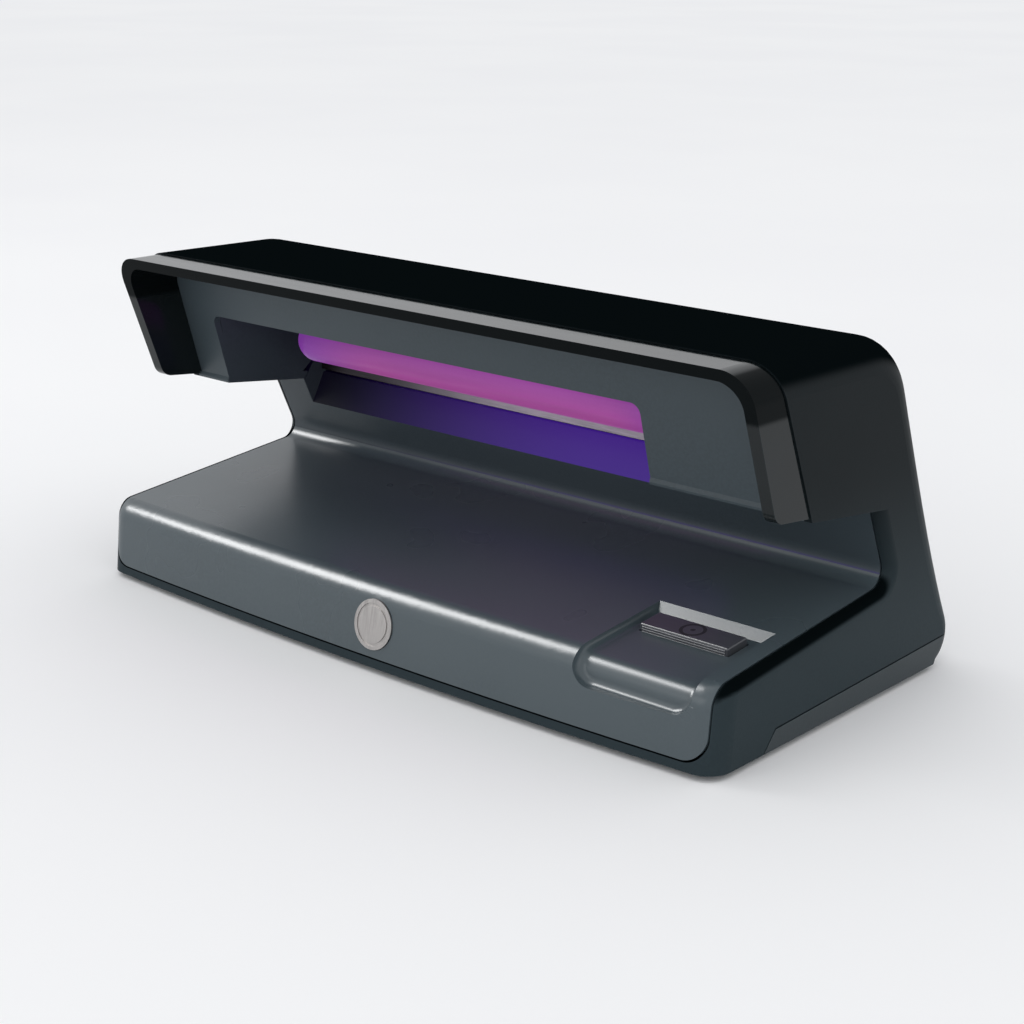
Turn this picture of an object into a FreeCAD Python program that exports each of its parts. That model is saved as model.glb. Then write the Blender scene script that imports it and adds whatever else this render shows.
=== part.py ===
import FreeCAD, Part
import math
import os
import re

import Sketcher

# Desk-top counterfeit bill detector: a C-shaped moulded casing with a sloping note tray below
# and an ultraviolet lamp in the hood above.
# Frame: millimetres, +X along the width, -Y towards the user, +Z up, feet on Z = 0,
# origin under the middle of the casing.

SIZES = {
    # casing envelope, seen from the side as eight corners (y, z)
    "wide": 206.0,
    "beyond": 60.0,
    "floor_z": 1.5,
    "sole_z": 0.9,
    "toe_y": -51.6,
    "nose_y": -49.8,
    "nose_z": 20.24,
    "throat_y": 21.85,
    "throat_z": 27.65,
    "roof_y": 13.05,
    "roof_z": 47.33,
    "chin_y": -14.9,
    "chin_z": 50.8,
    "brow_y": -30.5,
    "brow_z": 88.0,
    "crown_y": 20.8,
    "crown_z": 87.2,
    "heel_y": 55.3,
    # edge radii of the casing
    "crown_r": 20.0,
    "heel_r": 9.0,
    "throat_r": 4.0,
    "side_r": 8.0,
    "rear_r": 5.0,
    "ankle_r": 2.6,
    "nose_r": 5.9,
    "cheek_r": 3.0,
    # front of the casing in plan: bowed forward at the floor, nearly straight at the tray
    "front_y": -48.16,
    "front_back": 3.0,
    "front_rise": 30.0,
    "bow_low": 3.1,
    "bow_high": 0.4,
    "corner_r": 6.3,
    # mouldings
    "wall": 2.2,
    "seam": 0.4,
    "cheek": 3.0,
    "lip_z": 3.9,
    "lip_r": 6.0,
    # where the fascia, the back liner and the base cover part from the housing (y, z)
    "fascia_in_y": -38.0,
    "fascia_in_z": 16.4,
    "fascia_back_y": 24.0,
    "fascia_back_z": 23.0,
    "fascia_high_z": 31.9,
    "split_y": 16.1,
    "split_z": 28.2,
    "liner_low_y": 22.8,
    "liner_low_z": 31.2,
    "liner_high_y": 15.1,
    "liner_high_z": 48.3,
    "base_front_y": -30.6,
    "base_front_z": 6.1,
    "base_rear_z": 8.2,
    # mouth of the hood behind the lamp panel (y, z)
    "mouth_back_y": 18.4,
    "mouth_back_z": 54.6,
    "soffit_y": 2.0,
    "soffit_z": 62.0,
    "mouth_high_y": -20.0,
    "mouth_high_z": 80.0,
    # posts and ledges inside the housing
    "stud_r": 3.4,
    "stud_z": 5.1,
    "stud_long": 9.0,
    "web_z": 8.7,
    "web_thick": 2.0,
    "ledge_x": 88.5,
    "ledge_z": 13.0,
    "ledge_long": 9.0,
    "ledge_thick": 2.4,
    "boss_x": 93.0,
    "boss_front_y": -33.0,
    "boss_rear_y": 12.0,
    "boss_r": 3.2,
    # screw holes: clearance, pilots for thick, middle and thin screws
    "screw_clear_r": 1.6,
    "pilot_thick_r": 1.52,
    "pilot_r": 1.27,
    "pilot_thin_r": 1.02,
    # visor frame
    "visor_in": 0.4,
    "visor_gap": 0.12,
    "visor_drop": 0.4,
    "visor_y": -40.6,
    "visor_low_y": -28.2,
    "visor_low_z": 53.2,
    "visor_wall": 3.1,
    "visor_top": 2.8,
    "visor_r": 7.5,
    "visor_lip_r": 4.0,
    "spigot_deep": 1.5,
    # lamp panel and its window
    "panel_low_y": -14.0,
    "panel_low_z": 49.4,
    "panel_top_y": -23.7,
    "panel_top_z": 84.0,
    "panel_thick": 2.0,
    "window_left": -88.0,
    "window_right": 59.0,
    "window_top": 70.5,
    # lamp chamber
    "shelf_y": 16.4,
    "shelf_z": 39.8,
    "shelf_back_y": 20.9,
    "shelf_back_z": 48.2,
    "end_wall": 1.6,
    "chamber_back_y": 18.2,
    "chamber_back_z": 54.0,
    # reflector sheet and the posts that carry it
    "sheet": 0.5,
    "reflector_left": -66.0,
    "reflector_right": 36.0,
    "reflector_hole_z": 60.0,
    "reflector_post_y": 20.9,
    "reflector_post_long": 9.3,
    # ultraviolet twin-tube lamp
    "tube_r": 6.0,
    "tube_y": 1.2,
    "tube_z": 63.4,
    "tube_dy": 7.2,
    "tube_dz": 13.2,
    "glass_left": -74.0,
    "glass_right": 64.0,
    "cap_long": 18.0,
    "cap_high": 25.0,
    "cap_deep": 14.0,
    "contact_r": 1.2,
    "contact_long": 6.0,
    "post_long": 5.0,
    "clip_x": -52.0,
    # power button, across, along the tray and its clearances
    "button_x": 79.0,
    "button_y": -23.8,
    "button_wide": 24.4,
    "button_deep": 7.4,
    "button_gap": 0.25,
    "scoop_left": 63.5,
    "scoop_right": 95.5,
    "scoop_low_z": 13.0,
    "scoop_front_y": -44.7,
    "scoop_front_z": 18.8,
    "scoop_rear_y": -17.6,
    "scoop_rear_z": 21.58,
    "scoop_end_y": -13.4,
    "scoop_end_z": 26.1,
    "switch_post_x": 15.2,
    "switch_board_drop": 13.0,
    "switch_board_thick": 1.2,
    "mark_r": 3.2,
    "mark_line": 0.9,
    "mark_dot_r": 0.65,
    # base
    "foot_r": 6.0,
    "foot_x": 78.0,
    "foot_front_y": -20.0,
    "foot_rear_y": 34.0,
    "screw_x": 90.0,
    "screw_front_y": -7.0,
    "screw_rear_y": 34.0,
    # electronics
    "board_z": 7.5,
    "board_thick": 1.6,
    "board_left": -75.0,
    "board_right": 52.0,
    "board_front_y": -25.0,
    "board_rear_y": 41.0,
    "board_inset": 5.0,
    "pillar_r": 2.8,
    "jack_x": 40.0,
    "jack_front_y": 45.0,
    "jack_rise": 6.5,
    # front badge
    "badge_x": 3.0,
    "badge_z": 11.8,
    "badge_r": 6.2,
}

document = FreeCAD.newDocument("bill_detector")
sheet = document.addObject("Spreadsheet::Sheet", "Sheet")
for row, (alias, size) in enumerate(SIZES.items(), start=1):
    sheet.set(f"A{row}", alias)
    sheet.set(f"B{row}", str(size))
    sheet.setAlias(f"B{row}", alias)
document.recompute()

ALIAS = re.compile(r"\b(" + "|".join(SIZES) + r")\b")
ACROSS = FreeCAD.Rotation(FreeCAD.Vector(0, 1, 0), 90)
ALONG = FreeCAD.Rotation(FreeCAD.Vector(1, 0, 0), -90)
UPRIGHT = FreeCAD.Rotation()
SIDE_VIEW = FreeCAD.Rotation(0.5, 0.5, 0.5, 0.5)
FRONT_VIEW = FreeCAD.Rotation(FreeCAD.Vector(1, 0, 0), 90)

nodes = {}


# ---------------------------------------------------------------- helpers

def value(size):
    """The number that an expression of sheet names stands for."""
    return float(sheet.evalExpression(str(size)))


def bind(thing, sizes):
    """Ties properties of an object to expressions of sheet names."""
    for path, size in sizes.items():
        thing.setExpression(path, ALIAS.sub(r"Sheet.\1", str(size)))


def put(thing, place, turn=UPRIGHT):
    """Turns an object and binds the place of its origin."""
    thing.Placement = FreeCAD.Placement(FreeCAD.Vector(), turn)
    bind(thing, {f"Placement.Base.{axis}": size for axis, size in zip("xyz", place)})
    return thing


def node(name, thing):
    """Names a finished sub-part."""
    thing.Label = name
    nodes[name] = thing
    return thing


def box(name, low, high):
    """An upright block from its low corner to its high corner."""
    block = document.addObject("Part::Box", name)
    sides = [f"({top})-({bottom})" for bottom, top in zip(low, high)]
    bind(block, dict(zip(("Length", "Width", "Height"), sides)))
    return put(block, low)


def rod(name, place, radius, length, turn=UPRIGHT):
    """A cylinder that starts at a place and runs along its turned Z."""
    cylinder = document.addObject("Part::Cylinder", name)
    bind(cylinder, {"Radius": radius, "Height": length})
    return put(cylinder, place, turn)


def outline(name, points, turn, place=(0, 0, 0)):
    """A closed sketch of straight lines with every corner bound to the sheet."""
    sketch = document.addObject("Sketcher::SketchObject", name)
    put(sketch, place, turn)
    corners = [FreeCAD.Vector(value(a), value(b), 0) for a, b in points]
    count = len(corners)
    for index in range(count):
        line = Part.LineSegment(corners[index], corners[(index + 1) % count])
        sketch.addGeometry(line, False)
    for index in range(count):
        following = (index + 1) % count
        sketch.addConstraint(Sketcher.Constraint("Coincident", index, 2, following, 1))
    for index, point in enumerate(points):
        for kind, size in zip(("DistanceX", "DistanceY"), point):
            rule = Sketcher.Constraint(kind, -1, 1, index, 1, value(size))
            number = sketch.addConstraint(rule)
            bind(sketch, {f"Constraints[{number}]": size})
    return sketch


def slab(name, points, start, end):
    """A side-view outline (y, z) pushed across the casing from one X to another."""
    solid = document.addObject("Part::Extrusion", name)
    solid.Base = outline(f"{name}_outline", points, SIDE_VIEW, (start, 0, 0))
    solid.DirMode = "Normal"
    solid.Solid = True
    bind(solid, {"LengthFwd": f"({end})-({start})"})
    return solid


def middle_slab(name, points, half):
    """A side-view outline pushed equally to both sides of the middle."""
    return slab(name, points, f"-({half})", half)


def cut(name, base, *tools):
    """One solid less some others."""
    result = document.addObject("Part::Cut", name)
    result.Base = base
    result.Tool = tools[0] if len(tools) == 1 else fuse(f"{name}_tools", *tools)
    return result


def fuse(name, *solids):
    """Several solids joined into one."""
    result = document.addObject("Part::MultiFuse", name)
    result.Shapes = list(solids)
    result.Refine = True
    return result


def common(name, *solids):
    """What several solids share."""
    result = document.addObject("Part::MultiCommon", name)
    result.Shapes = list(solids)
    return result


def group(name, *solids):
    """Separate solids kept side by side in one sub-part."""
    result = document.addObject("Part::Compound", name)
    result.Links = list(solids)
    return result


def soften(name, base, wanted, radius_at):
    """Rounds the wanted edges; the radius may change from one end of an edge to the other."""
    document.recompute()
    picked = []
    for index, edge in enumerate(base.Shape.Edges, start=1):
        first = edge.valueAt(edge.FirstParameter)
        last = edge.valueAt(edge.LastParameter)
        if wanted(first, last):
            picked.append((index, radius_at(first), radius_at(last)))
    if not picked:
        raise RuntimeError(f"{name}: no edge to round")
    result = document.addObject("Part::Fillet", name)
    result.Base = base
    result.Edges = picked
    return result


def round_edges(name, base, wanted, radius):
    """Rounds the wanted edges with one radius."""
    size = value(radius)
    return soften(name, base, wanted, lambda point: size)


def close(number, target, slack=0.3):
    """True where two lengths agree."""
    return abs(number - value(target)) < slack


def crossing(y, z, slack=0.3):
    """Picks the edges that run across the casing through a side-view corner."""
    def wanted(first, last):
        return all(close(p.y, y, slack) and close(p.z, z, slack) for p in (first, last))
    return wanted


def y_at(low, high, z):
    """The Y of the side-view line through two corners, at a height."""
    return f"({low[0]}+({high[0]}-{low[0]})*(({z})-{low[1]})/({high[1]}-{low[1]}))"


def z_at(front, rear, y):
    """The Z of the side-view line through two corners, at a depth."""
    return f"({front[1]}+({rear[1]}-{front[1]})*(({y})-{front[0]})/({rear[0]}-{front[0]}))"


# ---------------------------------------------------------------- casing envelope

TOE = ("toe_y", "sole_z")
NOSE = ("nose_y", "nose_z")
THROAT = ("throat_y", "throat_z")
ROOF = ("roof_y", "roof_z")
CHIN = ("chin_y", "chin_z")
BROW = ("brow_y", "brow_z")
CROWN = ("crown_y", "crown_z")
HEEL = ("heel_y", "sole_z")
PROFILE = [TOE, NOSE, THROAT, ROOF, CHIN, BROW, CROWN, HEEL]
PANEL_LOW = ("panel_low_y", "panel_low_z")
PANEL_TOP = ("panel_top_y", "panel_top_z")

AHEAD = "-beyond"
HALF = "wide/2"
INNER_HALF = "(wide/2-wall)"
FASCIA_HALF = "(wide/2-cheek)"
FRONT_ZONE = 27.0


def plan_ring(height, inset):
    """The casing's plan at one height: straight sides, round corners and a bowed front."""
    share = height / value("front_rise")
    half = value("wide") / 2 - inset
    front = value("front_y") + value("front_back") * share + inset
    bow = value("bow_low") + (value("bow_high") - value("bow_low")) * share
    radius = value("corner_r") - inset
    nook = radius * (1 - math.sqrt(0.5))
    back = 80.0

    def point(x, y):
        return FreeCAD.Vector(x, y, height)

    left = [point(-half, back), point(-half, front + radius),
            point(-half + nook, front + nook), point(-half + radius, front)]
    right = [FreeCAD.Vector(-p.x, p.y, p.z) for p in left]
    return Part.Wire([
        Part.LineSegment(left[0], left[1]).toShape(),
        Part.Arc(left[1], left[2], left[3]).toShape(),
        Part.Arc(left[3], point(0, front - bow), right[3]).toShape(),
        Part.Arc(right[3], right[2], right[1]).toShape(),
        Part.LineSegment(right[1], right[0]).toShape(),
        Part.LineSegment(right[0], left[0]).toShape(),
    ])


def front_trim(name, inset):
    """What is taken off the square block to leave its bowed, leaning face and its flat floor."""
    rings = [plan_ring(0.0, inset), plan_ring(value("front_rise"), inset)]
    keep = Part.makeLoft(rings, True, True)
    front = Part.makeBox(240, 50, FRONT_ZONE, FreeCAD.Vector(-120, -70, 0))
    floor = Part.makeBox(240, 150, value("floor_z") + inset, FreeCAD.Vector(-120, -70, 0))
    trim = document.addObject("Part::Feature", name)
    trim.Shape = front.cut(keep).fuse(floor)
    trim.Placement = FreeCAD.Placement()
    return trim


def envelope(name, base, inset, nose_radius, cheek_radius):
    """The casing's solid, or its hollow, from a pushed outline: corners, front and side edges."""
    side = value(HALF) - inset
    solid = base
    corners = [(CROWN, "crown_r", -inset), (HEEL, "heel_r", -inset), (THROAT, "throat_r", inset)]
    for step, (corner, radius, change) in enumerate(corners):
        reach = 0.3 + 2.5 * inset
        size = value(radius) + change
        wanted = crossing(*corner, slack=reach)
        solid = round_edges(f"{name}_corner_{step}", solid, wanted, size)
    solid = cut(f"{name}_front", solid, front_trim(f"{name}_trim", inset))

    def back_side(first, last):
        level = abs(first.x - last.x) < 0.01 and abs(abs(first.x) - side) < 0.01
        behind_brow = min(first.y, last.y) > value("brow_y") - 0.1
        above = max(first.z, last.z) > 70 or min(first.y, last.y) > 35
        front_line = min(first.z, last.z) < 60 and max(first.y, last.y) < 0
        return level and behind_brow and above and not front_line

    def back_radius(point):
        if point.z > 70:
            return value("side_r") - inset
        return (value("rear_r") if point.z > 10 else value("ankle_r")) - inset

    solid = soften(f"{name}_sides", solid, back_side, back_radius)

    def tray_rim(first, last):
        low = 19.0 - inset < min(first.z, last.z) and max(first.z, last.z) < 27.9
        forward = min(first.y, last.y) < 17.5
        across_back = abs(first.x - last.x) > 100 and min(first.y, last.y) > -30
        return low and forward and not across_back

    def rim_radius(point):
        return cheek_radius if abs(abs(point.x) - side) < 0.5 else nose_radius

    return soften(f"{name}_rim", solid, tray_rim, rim_radius)


outer_block = middle_slab("outer_block", PROFILE, HALF)
outer = envelope("outer", outer_block, 0.0, value("nose_r"), value("cheek_r"))

inner_outline = document.addObject("Part::Offset2D", "inner_outline")
inner_outline.Source = outline("casing_outline", PROFILE, SIDE_VIEW)
inner_outline.Join = "Intersection"
bind(inner_outline, {"Value": "-wall"})
inner_block = document.addObject("Part::Extrusion", "inner_block")
inner_block.Base = inner_outline
inner_block.DirMode = "Custom"
inner_block.Dir = (1, 0, 0)
inner_block.Symmetric = True
inner_block.Solid = True
bind(inner_block, {"LengthFwd": "wide-2*wall"})
inner_nose = value("nose_r") - value("wall")
inner = envelope("inner", inner_block, value("wall"), inner_nose, inner_nose)

shell = cut("shell", outer, inner)


# ---------------------------------------------------------------- where the mouldings part

def front_zone(name, lift):
    """The front view of the fascia: upright sides and round lower corners."""
    edge = f"({FASCIA_HALF}+{lift})"
    low = f"lip_z-{lift}"
    block = document.addObject("Part::Extrusion", name)
    block.Base = outline(f"{name}_outline", [
        (f"-{edge}", low), (edge, low), (edge, "beyond"), (f"-{edge}", "beyond"),
    ], FRONT_VIEW, (0, "beyond", 0))
    block.DirMode = "Normal"
    block.Solid = True
    bind(block, {"LengthFwd": "2*beyond"})

    def low_side(first, last):
        return max(first.z, last.z) < value(low) + 0.1 and abs(first.x - last.x) < 0.1

    return round_edges(f"{name}_corners", block, low_side, "lip_r")


def zones(name, grow):
    """The regions that the fascia, the back liner and the base cover take from the shell."""
    lift = f"({grow})"
    fascia_side = middle_slab(f"{name}_fascia_side", [
        (AHEAD, f"lip_z-{lift}"),
        (f"fascia_in_y+{lift}", f"lip_z-{lift}"),
        (f"fascia_in_y+{lift}", f"fascia_in_z-{lift}"),
        (f"fascia_back_y+{lift}", f"fascia_back_z-{lift}"),
        (f"fascia_back_y+0.6+{lift}", f"fascia_high_z+{lift}"),
        (f"split_y-{lift}*0.4", f"split_z+{lift}"),
        (AHEAD, "split_z"),
    ], f"{FASCIA_HALF}+{lift}")
    fascia_zone = common(f"{name}_fascia", fascia_side, front_zone(f"{name}_front", lift))
    liner_zone = middle_slab(f"{name}_liner", [
        (f"split_y+{lift}*0.4", f"split_z-{lift}"),
        (f"liner_low_y+{lift}", f"liner_low_z-{lift}"),
        (f"liner_high_y+{lift}", f"liner_high_z+{lift}"),
        (f"liner_high_y-0.5-{lift}*0.5", f"liner_high_z+1.2+{lift}"),
        (f"roof_y-{lift}*0.8", f"roof_z+{lift}*0.6"),
        ("roof_y-5", "roof_z-5"),
    ], f"{FASCIA_HALF}+{lift}")
    base_zone = middle_slab(f"{name}_base", [
        (f"base_front_y-{lift}", "-5"),
        (f"base_front_y-{lift}", "0"),
        (f"base_front_y+5.6-{lift}*0.5", f"base_front_z+{lift}"),
        ("beyond", f"base_rear_z+{lift}"),
        ("beyond", "-5"),
    ], "2*beyond")
    return fascia_zone, liner_zone, base_zone


fascia_zone, liner_zone, base_zone = zones("fit", "0")
fascia_room, liner_room, base_room = zones("room", "seam")

MOUTH_BACK = ("mouth_back_y", "mouth_back_z")
SOFFIT = ("soffit_y", "soffit_z")
MOUTH_HEAD = "brow_z-wall-0.1"
HOOD_MOUTH = [
    ROOF, MOUTH_BACK, SOFFIT, ("mouth_high_y", "mouth_high_z"), ("mouth_high_y-4", MOUTH_HEAD),
    (AHEAD, MOUTH_HEAD), (AHEAD, "roof_z-2.33"), ("roof_y-8.05", "roof_z-2.33"),
]
mouth_block = middle_slab("mouth_block", HOOD_MOUTH, INNER_HALF)


def mouth_top(first, last):
    high = min(first.z, last.z) > 85 and max(first.y, last.y) < -20
    return high and abs(first.x - last.x) < 0.1 and abs(first.y - last.y) > 10


hood_mouth = round_edges("hood_mouth", mouth_block, mouth_top, "side_r-wall+0.3")


# ---------------------------------------------------------------- upper housing

def to_side_wall(side, start):
    """The X span from a place to just inside the left (-1) or right (1) side wall."""
    wall = f"{INNER_HALF}+1"
    return (start, wall) if side > 0 else (f"-({wall})", f"-({start})")


def housing_posts():
    """Posts that take the base screws, each with a web to its side wall."""
    posts = []
    pilots = []
    for side in (-1, 1):
        low, high = to_side_wall(side, "screw_x")
        for y in ("screw_front_y", "screw_rear_y"):
            tag = f"{y}_{'right' if side > 0 else 'left'}"
            at = (f"{side}*screw_x", y, "stud_z")
            posts.append(rod(f"post_{tag}", at, "stud_r", "stud_long"))
            posts.append(box(f"web_{tag}", (low, f"{y}-web_thick/2", "web_z"),
                             (high, f"{y}+web_thick/2", "stud_z+stud_long")))
            pilots.append(rod(f"pilot_{tag}", at, "pilot_thick_r", "stud_long-2"))
    return posts, pilots


def housing_ledges():
    """Ledges on the side walls under the fascia's bosses, with their screw holes."""
    ledges = []
    holes = []
    for index, (side, y) in enumerate(FASCIA_BOSSES):
        low, high = to_side_wall(side, "ledge_x")
        ledges.append(box(f"ledge_{index}", (low, f"{y}-ledge_long/2", "ledge_z"),
                          (high, f"{y}+ledge_long/2", "ledge_z+ledge_thick")))
        holes.append(rod(f"ledge_hole_{index}", (f"{side}*boss_x", y, "ledge_z-1"),
                         "screw_clear_r", "ledge_thick+2.6"))
    return ledges, holes


def reflector_posts():
    """Posts from the rear wall that carry the reflector."""
    posts = []
    pilots = []
    for x in REFLECTOR_SCREW_X:
        at = (x, "reflector_post_y", "reflector_hole_z")
        posts.append(rod(f"post_{x}", at, 3, "reflector_post_long", ALONG))
        pilots.append(rod(f"pilot_{x}", at, "pilot_r", "reflector_post_long-2.3", ALONG))
    return posts, pilots


FASCIA_BOSSES = [(side, y) for side in (-1, 1) for y in ("boss_front_y", "boss_rear_y")]
REFLECTOR_SCREW_X = ("reflector_left", "reflector_right")

posts, post_pilots = housing_posts()
ledges, ledge_holes = housing_ledges()
back_posts, back_pilots = reflector_posts()
jack_z = "board_z+board_thick+jack_rise"
jack_opening = rod("jack_opening", ("jack_x", "jack_front_y-7", jack_z), 5.6, 20, ALONG)
vent_slots = [
    box(f"rear_vent_{index}", (x, 30, 34), (x + 2, 50, 54))
    for index, x in enumerate(range(-78, -33, 5))
]
walls = cut("housing_walls", shell, fascia_room, liner_room, base_room, hood_mouth, *vent_slots)
housing_solid = fuse("housing_solid", walls, *posts, *ledges, *back_posts)
upper_housing = cut(
    "upper_housing_body", housing_solid, jack_opening, *post_pilots, *ledge_holes, *back_pilots)
node("upper_housing", upper_housing)


# ---------------------------------------------------------------- visor frame

VISOR_TOP = ("visor_y", "brow_z-visor_drop")
VISOR_LOW = ("visor_low_y", "visor_low_z")
VISOR_HALF = "(wide/2-visor_in)"


def visor_frame():
    """An inverted U round the hood's mouth, with a spigot that enters the housing."""
    head = "brow_z-visor_drop"
    foot = "chin_z+1"
    behind = y_at(BROW, CHIN, head)
    below = y_at(BROW, CHIN, foot)
    strip = middle_slab("visor_strip", [
        VISOR_TOP, VISOR_LOW, (f"{below}-visor_gap", foot), (f"{behind}-visor_gap", head),
    ], VISOR_HALF)
    strip = round_edges("visor_lip", strip, crossing(*VISOR_LOW), "visor_lip_r")

    def top_side(first, last):
        return min(first.z, last.z) > value("brow_z") - 1 and abs(first.x - last.x) < 0.1

    strip = round_edges("visor_corners", strip, top_side, "visor_r")
    top = "brow_z-wall-0.4"
    low = "chin_z+1.6"
    spigot = middle_slab("visor_spigot", [
        (f"{behind}-spigot_deep", top),
        (f"{below}-spigot_deep", low),
        (f"{y_at(PANEL_LOW, PANEL_TOP, low)}-0.15", low),
        (f"{y_at(PANEL_LOW, PANEL_TOP, top)}-0.15", top),
    ], f"{INNER_HALF}-0.3")

    def spigot_top(first, last):
        return min(first.z, last.z) > 84 and abs(first.x - last.x) < 0.1

    spigot = round_edges("spigot_corners", spigot, spigot_top, "side_r-wall+0.1")
    hollow = middle_slab("visor_hollow", [
        (AHEAD, f"{head}-visor_top-0.1"), (AHEAD, 40), (-5, 40), (-5, 81.6), (-22, 83.4),
        ("visor_y+1", f"{head}-visor_top"),
    ], f"{VISOR_HALF}-visor_wall")

    def hollow_top(first, last):
        return min(first.z, last.z) > 81 and abs(first.x - last.x) < 0.1 and abs(first.y - last.y) > 8

    hollow = round_edges("hollow_corners", hollow, hollow_top, "visor_r-visor_wall+1.5")
    return cut("visor", fuse("visor_solid", strip, spigot), hollow)


node("visor_frame", visor_frame())


# ---------------------------------------------------------------- where the lamp lies

def lamp_centre(index, x):
    """A point on the axis of the lower front tube (0) or the upper rear tube (1)."""
    return (x, f"tube_y+{index}*tube_dy", f"tube_z+{index}*tube_dz")


def lamp_block(name, x, length, high, deep):
    """A block in line with the tube pair, centred between the tubes."""
    block = document.addObject("Part::Box", name)
    bind(block, {"Length": length, "Width": deep, "Height": high})
    tilt = math.degrees(math.atan2(value("tube_dy"), value("tube_dz")))
    turn = FreeCAD.Rotation(FreeCAD.Vector(1, 0, 0), -tilt)
    block.Placement = FreeCAD.Placement(FreeCAD.Vector(), turn)
    half = turn.multVec(FreeCAD.Vector(0, value(deep) / 2, value(high) / 2))
    return put(block, (x, f"tube_y+tube_dy/2-({half.y:.5f})", f"tube_z+tube_dz/2-({half.z:.5f})"), turn)


# ---------------------------------------------------------------- lamp panel

def lamp_panel():
    """The sloping panel with the window, the hood's underside beside it and the chamber's ends."""
    head = "brow_z-wall-0.8"
    foot = "panel_low_z+1.9"
    front_low = y_at(PANEL_LOW, PANEL_TOP, foot)
    front_high = y_at(PANEL_LOW, PANEL_TOP, head)
    plate = middle_slab("panel_plate", [
        (front_low, foot), (front_high, head),
        (f"{front_high}+panel_thick", head), (f"{front_low}+panel_thick", foot),
    ], f"{INNER_HALF}-0.4")

    def plate_top(first, last):
        return min(first.z, last.z) > 84 and abs(first.x - last.x) < 0.1

    plate = round_edges("panel_corners", plate, plate_top, 6)
    soffit_zone = middle_slab("soffit_zone", [
        ("chin_y-1.7", "roof_z-0.33"), ("roof_y-0.15", "roof_z-3"), ("roof_y-0.15", "roof_z"),
        ("mouth_back_y-0.4", "mouth_back_z-0.2"), SOFFIT, ("chin_y+1.2", "chin_z+5.2"),
    ], f"{INNER_HALF}-0.25")
    soffit = common("soffit", shell, soffit_zone)
    window = slab("window", [
        (-40, 44), (-40, "window_top"), (-5, "window_top"), (-5, 44),
    ], "window_left", "window_right")

    def window_corner(first, last):
        return min(first.z, last.z) > value("window_top") - 0.1 and abs(first.x - last.x) < 0.1

    window = round_edges("window_corners", window, window_corner, 2.5)
    well = slab("chamber_well", [
        (-30, 40), (-12.1, 60), (-12, 80), (30, 80), (30, 40),
    ], "window_left", "window_right")
    ends = []
    for tag, start, stop in (
            ("left", "window_left-end_wall", "window_left"),
            ("right", "window_right", "window_right+end_wall")):
        ends.append(slab(f"chamber_end_{tag}", [
            (-13.2, 51.4), (11.5, 48.6), ("chamber_back_y", "chamber_back_z"), (15.6, 66),
            (9.6, "mouth_high_z"), ("mouth_high_y+0.2", "mouth_high_z"),
        ], start, stop))
    solid = fuse("panel_solid", plate, soffit, *ends)
    lamp_room = lamp_block("lamp_room", "window_right-9", 20, "cap_high+3", "cap_deep+3")
    return cut("panel", solid, window, well, lamp_room)


node("lamp_panel", lamp_panel())


# ---------------------------------------------------------------- back liner

def back_liner():
    """The inner back wall, with a sloping shelf and two cheeks behind the lamp window."""
    wall = common("liner_wall", shell, liner_zone)
    span = ("window_left-0.2", "window_right+0.2")
    notch = slab("liner_notch", [
        (0, "shelf_z"), ("shelf_y", "shelf_z"), ("shelf_back_y+2.6", "shelf_back_z+3.4"),
        (10, "beyond"), (0, "beyond"),
    ], *span)
    shelf = slab("shelf", [
        ("shelf_y", "shelf_z"), ("shelf_back_y", "shelf_back_z"),
        ("shelf_back_y+1.6", "shelf_back_z"), ("shelf_y+4", "shelf_z"),
    ], *span)
    cheek_line = [
        ("shelf_y", "shelf_z"), ("roof_y+0.4", "roof_z-0.5"), ("roof_y+2.1", "roof_z+2.1"),
        ("chamber_back_y-0.3", "chamber_back_z-0.7"), ("shelf_back_y+0.7", "chamber_back_z-0.7"),
        ("shelf_back_y+1.6", "shelf_back_z"),
    ]
    cheeks = [
        slab("liner_cheek_left", cheek_line, "window_left-end_wall", "window_left-0.1"),
        slab("liner_cheek_right", cheek_line, "window_right+0.1", "window_right+end_wall"),
    ]
    return fuse("liner", cut("liner_open", wall, notch), shelf, *cheeks)


node("back_liner", back_liner())


# ---------------------------------------------------------------- tray fascia

TRAY_ANGLE = math.degrees(math.atan2(
    value("throat_z") - value("nose_z"), value("throat_y") - value("nose_y")))
TRAY_TURN = FreeCAD.Rotation(FreeCAD.Vector(1, 0, 0), TRAY_ANGLE)


def tray_place(x, y, down):
    """A place measured down the tray's normal from the tray's surface."""
    drop = math.cos(math.radians(TRAY_ANGLE))
    slide = math.sin(math.radians(TRAY_ANGLE))
    return (x, f"({y})+({down})*{slide:.6f}", f"{z_at(NOSE, THROAT, y)}-({down})*{drop:.6f}")


def tray_box(name, half_x, half_y, top, bottom, x="button_x"):
    """A block square to the tray, centred on the button."""
    block = document.addObject("Part::Box", name)
    bind(block, {"Length": f"2*({half_x})", "Width": f"2*({half_y})", "Height": f"({bottom})-({top})"})
    block.Placement = FreeCAD.Placement(FreeCAD.Vector(), TRAY_TURN)
    lean = math.cos(math.radians(TRAY_ANGLE))
    slope = math.sin(math.radians(TRAY_ANGLE))
    place = tray_place("0", "button_y", bottom)
    bind(block, {
        "Placement.Base.x": f"({x})-({half_x})",
        "Placement.Base.y": f"{place[1]}-({half_y})*{lean:.6f}",
        "Placement.Base.z": f"{place[2]}-({half_y})*{slope:.6f}",
    })
    return block


def tray_rod(name, dx, top, bottom, radius):
    """A cylinder square to the tray, beside the button's centre."""
    cylinder = document.addObject("Part::Cylinder", name)
    bind(cylinder, {"Radius": radius, "Height": f"({bottom})-({top})"})
    return put(cylinder, tray_place(f"button_x+({dx})", "button_y", bottom), TRAY_TURN)


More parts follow.
